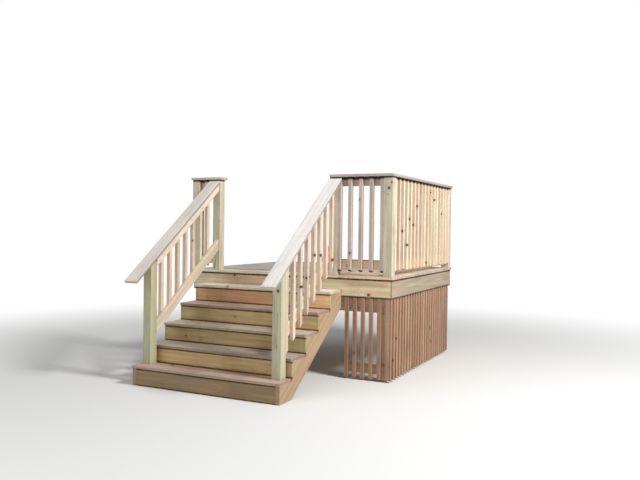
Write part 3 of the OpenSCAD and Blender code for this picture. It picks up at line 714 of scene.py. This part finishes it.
guards = {"baluster": 0.038, "rail": 0.038, "railHeight": 0.089, "drop": 0.030, "cut": 0.022, "edge": 0.0028,
          "largestStep": 0.118, "nailUp": 0.024, "nailDown": 0.065, "nailStray": 0.004,
          # the top rail's tint is painted shade under the cap, the low rail's tint painted light
          "topRailShade": (0.80, 0.75, 0.78), "lowRailLight": (1.17, 1.09, 0.90), "topShade": 0.042,
          "lowShade": 0.010, "railSpread": 0.05, "spread": 0.13, "heartShare": 0.3, "knotSize": 0.010,
          # the front guard's tint is painted shade, darker and bluer balusters
          "tint": {"front_guard_panel": (0.74, 0.78, 0.88), "right_guard_panel": (1.03, 1.02, 0.96)},
          "slide": {"right_guard_panel": {3: 2.4}},
          "knots": {"right_guard_panel": {11: [(0.006, 1.811)], 6: [(0.014, 1.722)], 14: [(0.020, 1.661)],
                                          4: [(0.020, 1.582)], 5: [(0.016, 1.523)], 2: [(0.013, 1.460)],
                                          3: [(0.005, 1.319)], 9: [(0.015, 1.113)]},
                    "front_guard_panel": {1: [(0.025, 1.239)]},
                    "right_stair_panel": {2: [(0.004, 0.954)], 3: [(0.012, 1.024)], 4: [(0.0, 1.228)],
                                          5: [(0.0, 1.222)], 7: [(0.0, 1.170)]}}}


def levelGuard(name, node, along, outer, inner, alone=False):
    # outer is the plane of the balusters' outer faces; inner is +1 or -1, the way to the deck
    low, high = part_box(node)
    b, t = guards["baluster"], guards["rail"]
    start, end = (low.x, high.x) if along == "x" else (low.y, high.y)
    piece = bmesh.new()
    railZ = (high.z - guards["railHeight"], low.z + guards["drop"])
    for z, railLightTint, seam in zip(railZ, (guards["topRailShade"], guards["lowRailLight"]),
                              (guards["topShade"], guards["lowShade"])):
        near, far = sorted((outer + inner * b, outer + inner * (b + t)))
        if along == "x":
            corners = (start, near, z), (end, far, z + guards["railHeight"])
        else:
            corners = (near, start, z), (far, end, z + guards["railHeight"])
        boxBoard(piece, *corners, along, edge=guards["edge"], tint=tinted(guards["railSpread"], railLightTint),
                 seams=(noSeam, 0.0, seam))
    steps = math.ceil((end - start - b) / guards["largestStep"])
    firsts = [(start + end - b) / 2] if alone else between(start, end - b, steps + 1)
    boardToneAndLight = guards["tint"].get(node, (1, 1, 1))
    near, far = sorted((outer, outer + inner * b))
    across = Vector((0, -inner, 0)) if along == "x" else Vector((-inner, 0, 0))
    down = across * guards["cut"] - axisZ * b
    for k, first in enumerate(firsts):
        spots = guards["knots"].get(node, {}).get(k, [])
        if along == "x":
            point, face = (first, outer, low.z + guards["cut"]), (first + b / 2, outer)
            corners = (first, near, low.z), (first + b, far, high.z)
            knots = [((first + inset, outer, z), guards["knotSize"]) for inset, z in spots]
        else:
            point, face = (outer, first, low.z + guards["cut"]), (outer, first + b / 2)
            corners = (near, first, low.z), (far, first + b, high.z)
            knots = [((outer + inner * inset, first, z), guards["knotSize"]) for inset, z in spots]
        boxBoard(piece, *corners, "z", edge=guards["edge"], segments=2, cuts=[(point, down)],
                 tint=tinted(guards["spread"], boardToneAndLight), heart=dice.random() < guards["heartShare"],
                 knots=knots, slide=guards["slide"].get(node, {}).get(k, 0.0))
        for z in railZ:
            for up in (guards["nailUp"], guards["nailDown"]):
                nailSpots.append(((*face, z + up + stray(guards["nailStray"])), across))
    finishPiece(piece, name, [node], "rails")


levelGuard("frontGuard", "front_guard_panel", "x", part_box("front_guard_panel")[0].y, 1)
levelGuard("rightGuard", "right_guard_panel", "y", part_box("right_guard_panel")[1].x, -1)
levelGuard("rearGuard", "rear_guard_panel", "x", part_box("rear_guard_panel")[1].y, -1)
levelGuard("leftGuard", "left_guard_panel", "x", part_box("left_guard_panel")[0].y, 1, alone=True)
print("level guards nailed up")


# stair guards

stairRails = {"handrail": 0.027, "topHeight": 0.064, "lowHeight": 0.089, "balusters": 8,
              "leftStep": 0.124, "leftDrop": 0.0, "rightStep": 0.1295, "rightDrop": 0.060,
              "spare": (0.02, 0.032), "tint": (0.94, 0.90, 0.89), "spread": 0.08,
              "topNails": (0.022, 0.055), "lowNails": (0.034, 0.078), "nailStray": 0.003}
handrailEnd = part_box("right_handrail")[1]


def underHandrail(y):
    return handrailEnd.z - stairRails["handrail"] / alongRail.y + railSlope * (y - handrailEnd.y)


def stairGuard(name, node, railX, balusterX, step, drop, outward):
    # the balusters are laid with spare length at both ends, and cut along the handrail and the low rail
    low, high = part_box(node)
    b, t = guards["baluster"], guards["rail"]
    start, end = low.y, high.y
    ends = [((0, start, 0), (0, -1, 0)), ((0, end, 0), (0, 1, 0))]
    middleY = (start + end) / 2
    face = balusterX + b if outward > 0 else balusterX

    def lowRail(y):
        return low.z + drop + railSlope * (y - start)

    piece = bmesh.new()
    for height, edgeZ, up in ((stairRails["topHeight"], underHandrail(middleY), -1),
                              (stairRails["lowHeight"], lowRail(middleY), 1)):
        middle = Vector((railX + t / 2, middleY, edgeZ)) + aboveRail * (up * height / 2)
        size = ((end - start) / alongRail.y + 2 * height, height, t)
        layBoard(piece, size, turned(alongRail, aboveRail, middle), edge=guards["edge"], cuts=ends,
                 tint=tinted(guards["railSpread"]))
    for k in range(stairRails["balusters"]):
        y = start + k * step
        knots = [((face - outward * inset, y, z), guards["knotSize"])
                 for inset, z in guards["knots"].get(node, {}).get(k, [])]
        cuts = [((0, y, underHandrail(y)), aboveRail), ((0, y, lowRail(y) - drop), -aboveRail)]
        corners = ((balusterX, y, lowRail(y) - drop - stairRails["spare"][0]),
                   (balusterX + b, y + b, underHandrail(y + b) + stairRails["spare"][1]))
        boxBoard(piece, *corners, "z", edge=guards["edge"], segments=2, cuts=cuts, knots=knots,
                 tint=tinted(stairRails["spread"], stairRails["tint"]),
                 heart=dice.random() < guards["heartShare"])
        middle = y + b / 2
        nailZ = [underHandrail(middle) - down for down in stairRails["topNails"]]
        nailZ += [lowRail(middle) + up for up in stairRails["lowNails"]]
        for z in nailZ:
            nailSpots.append(((face, middle + stray(stairRails["nailStray"]), z), axisX * outward))
    finishPiece(piece, name, [node], "rails")


low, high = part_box("left_stair_panel")
stairGuard("leftStairGuard", "left_stair_panel", high.x - guards["rail"], low.x,
           stairRails["leftStep"], stairRails["leftDrop"], -1)
low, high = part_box("right_stair_panel")
stairGuard("rightStairGuard", "right_stair_panel", low.x, high.x - guards["baluster"],
           stairRails["rightStep"], stairRails["rightDrop"], 1)
print("stair guards nailed up")


# handrails

# the left handrail's tint is painted shade
handrails = {"edge": 0.005, "tint": {"left": (0.82, 0.81, 0.79), "right": (0.92, 0.93, 0.96)},
             "spare": 0.1, "nailPairs": 7, "lowNail": 0.23, "topNail": 0.12, "nailSide": 0.018,
             "nailStray": 0.008}

for side in ("left", "right"):
    # laid along the slope with spare length at the top, which the upright cut takes off
    low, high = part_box(f"{side}_handrail")
    top = Vector(((low.x + high.x) / 2, high.y, high.z))
    length = (high.y - low.y) / alongRail.y
    foot = top - alongRail * length
    length += handrails["spare"]
    middle = foot + alongRail * (length / 2) - aboveRail * stairRails["handrail"] / 2
    piece = bmesh.new()
    layBoard(piece, (length, high.x - low.x, stairRails["handrail"]), turned(alongRail, -axisX, middle),
             edge=handrails["edge"], cuts=[((0, high.y, 0), (0, 1, 0))], tint=handrails["tint"][side])
    finishPiece(piece, side + "HandrailBoard", [f"{side}_handrail"], "handrails")
    for y in between(low.y + handrails["lowNail"], high.y - handrails["topNail"], handrails["nailPairs"]):
        for x in (top.x - handrails["nailSide"], top.x + handrails["nailSide"]):
            nailY = y + stray(handrails["nailStray"])
            nailSpots.append(((x, nailY, high.z + railSlope * (nailY - high.y)), aboveRail))
print("handrails laid")


# caps

caps = {"edge": 0.005, "headRoom": 0.0006, "nailSide": 0.014, "nailEnds": (0.12, 0.16), "rightNailEnd": 0.18,
        "rightNailPairs": 6}
frontCap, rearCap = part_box("front_cap"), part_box("rear_cap")
mitreFront = (frontCap[1].x, frontCap[0].y, frontCap[0].z)
mitreRear = (rearCap[1].x, rearCap[1].y, rearCap[0].z)
capBoards = {
    # the cap tints are painted light and shade: the left cap bluer, the right cap darker
    "left_cap": dict(along="x", tint=(0.95, 1.00, 1.03)),
    "front_cap": dict(along="x", tint=(1.02, 1.06, 1.11), cuts=[(mitreFront, (1, 1, 0))]),
    "right_cap": dict(along="y", tint=(0.80, 0.74, 0.81),
                      cuts=[(mitreFront, (-1, -1, 0)), (mitreRear, (-1, 1, 0))]),
    "rear_cap": dict(along="x", tint=(0.90, 0.88, 0.90), cuts=[(mitreRear, (1, -1, 0))]),
}
for name, how in capBoards.items():
    # the head room keeps the nail heads inside the part's height
    boardPiece(pieceName(name, "Board"), name, "caps", topGap=caps["headRoom"], edge=caps["edge"], bow=0.0,
               **how)
    low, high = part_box(name)
    middle, top = (low + high) / 2, high.z - caps["headRoom"]
    sides = (-caps["nailSide"], caps["nailSide"])
    if how["along"] == "x":
        pairs = 3 if high.x - low.x > 0.5 else 2
        for x in between(low.x + caps["nailEnds"][0], high.x - caps["nailEnds"][1], pairs):
            nailSpots += [((x, middle.y + side, top), axisZ) for side in sides]
    else:
        for y in between(low.y + caps["rightNailEnd"], high.y - caps["rightNailEnd"], caps["rightNailPairs"]):
            nailSpots += [((middle.x + side, y, top), axisZ) for side in sides]
print("caps fixed")


# screw and nail heads

heads = {"sides": 10, "height": 0.0009, "taper": 0.72, "socket": 0.0004, "socketRim": 0.3,
         "screwRadius": 0.0042, "nailRadius": 0.0034}


def headPiece(name, spots, radius, material, socketed):
    piece = bmesh.new()
    for spot, normal in spots:
        turn = Vector(normal).to_track_quat("Z", "Y").to_matrix().to_4x4()
        made = bmesh.ops.create_cone(piece, cap_ends=True, segments=heads["sides"], radius1=radius,
                                     radius2=radius * heads["taper"], depth=heads["height"],
                                     matrix=Matrix.Translation(spot) @ turn)
        if not socketed:
            continue
        around = {f for v in made["verts"] for f in v.link_faces}
        top = max(around, key=lambda f: f.calc_center_median().dot(Vector(normal)))
        bmesh.ops.inset_individual(piece, faces=[top], thickness=radius * heads["socketRim"],
                                   depth=-heads["socket"])
    bmesh.ops.recalc_face_normals(piece, faces=piece.faces)
    finishPiece(piece, name, [], None, material)


headPiece("deckScrews", screwSpots, heads["screwRadius"], metal["screwMetal"], True)
headPiece("nailHeads", nailSpots, heads["nailRadius"], metal["nailMetal"], False)
print("screws:", len(screwSpots), "nails:", len(nailSpots))


# floor, background, lamps and camera

ground = {"color": (0.80, 0.80, 0.79, 1), "radius": 60, "sides": 64, "fade": (2.6, 7.0)}


def seenRays(tree):
    # one for what the camera sees, also in gloss and through glass
    rays = addNode(tree, "ShaderNodeLightPath").outputs
    mirrored = calc(tree, "MAXIMUM", rays["Is Glossy Ray"], rays["Is Transmission Ray"])
    return calc(tree, "MAXIMUM", rays["Is Camera Ray"], mirrored)


def mixedSurface(tree, amount, first, second, outputKind):
    mix = addNode(tree, "ShaderNodeMixShader")
    feed(tree, mix.inputs[0], amount)
    tree.links.new(first.outputs[0], mix.inputs[1])
    tree.links.new(second.outputs[0], mix.inputs[2])
    tree.links.new(mix.outputs[0], addNode(tree, outputKind).inputs["Surface"])


def groundMaterial():
    # a pale floor that turns white away from the stairs
    made = bpy.data.materials.new("paleFloor")
    made.use_nodes = True
    tree = made.node_tree
    tree.nodes.clear()
    matte = addNode(tree, "ShaderNodeBsdfDiffuse")
    matte.inputs["Color"].default_value = ground["color"]
    place = addNode(tree, "ShaderNodeTexCoord").outputs["Object"]
    far = vectorCalc(tree, "LENGTH", vectorCalc(tree, "MULTIPLY", place, (1, 1, 0)), out=1)
    white = calc(tree, "MULTIPLY", remap(tree, far, *ground["fade"]), seenRays(tree))
    mixedSurface(tree, white, matte, addNode(tree, "ShaderNodeEmission"), "ShaderNodeOutputMaterial")
    return made


floorShape = bmesh.new()
bmesh.ops.create_circle(floorShape, cap_ends=True, segments=ground["sides"], radius=ground["radius"])
mesh = bpy.data.meshes.new("floor")
floorShape.to_mesh(mesh)
floorShape.free()
floor = bpy.data.objects.new("floor", mesh)
bpy.context.scene.collection.objects.link(floor)
mesh.materials.append(groundMaterial())

light = {
    "skyStrength": 0.34,
    "aim": (0, 0, 0.9),
    "lamps": {"keyLamp": dict(place=(6.7, -1.8, 6.7), size=2.0, power=720),
              "fillLamp": dict(place=(-4.5, -7.5, 5.0), size=4.0, power=138)},
}
world = bpy.data.worlds.new("studio")
bpy.context.scene.world = world
world.use_nodes = True
tree = world.node_tree
tree.nodes.clear()
soft, white = addNode(tree, "ShaderNodeBackground"), addNode(tree, "ShaderNodeBackground")
for background in (soft, white):
    background.inputs["Color"].default_value = (1, 1, 1, 1)
soft.inputs["Strength"].default_value = light["skyStrength"]
mixedSurface(tree, seenRays(tree), soft, white, "ShaderNodeOutputWorld")

for name, lamp in light["lamps"].items():
    data = bpy.data.lights.new(name, "AREA")
    data.shape = "DISK"
    data.size = lamp["size"]
    data.energy = lamp["power"]
    made = bpy.data.objects.new(name, data)
    made.location = lamp["place"]
    aim = Vector(light["aim"]) - Vector(lamp["place"])
    made.rotation_euler = aim.to_track_quat("-Z", "Y").to_euler()
    bpy.context.scene.collection.objects.link(made)

view = {"place": (3.40495, -6.57988, 1.47748), "yaw": 25.926, "pitch": -0.983, "roll": 0.757,
        "lens": 38.775, "sensor": 36, "clipEnd": 300}
yaw, pitch, roll = (math.radians(view[key]) for key in ("yaw", "pitch", "roll"))
forward = Vector((-math.sin(yaw) * math.cos(pitch), math.cos(yaw) * math.cos(pitch), math.sin(pitch)))
side = Vector((math.cos(yaw), math.sin(yaw), 0))
upward = side.cross(forward)
side, upward = (side * math.cos(roll) + upward * math.sin(roll),
                upward * math.cos(roll) - side * math.sin(roll))
cameraData = bpy.data.cameras.new("photoView")
cameraData.lens = view["lens"]
cameraData.sensor_width = view["sensor"]
cameraData.clip_end = view["clipEnd"]
camera = bpy.data.objects.new("photoView", cameraData)
turn = Matrix((side, upward, -forward)).transposed().to_4x4()
camera.matrix_world = Matrix.Translation(view["place"]) @ turn
bpy.context.scene.collection.objects.link(camera)
bpy.context.scene.camera = camera
bpy.context.scene.view_settings.view_transform = "Standard"
print("stage, light and camera ready")
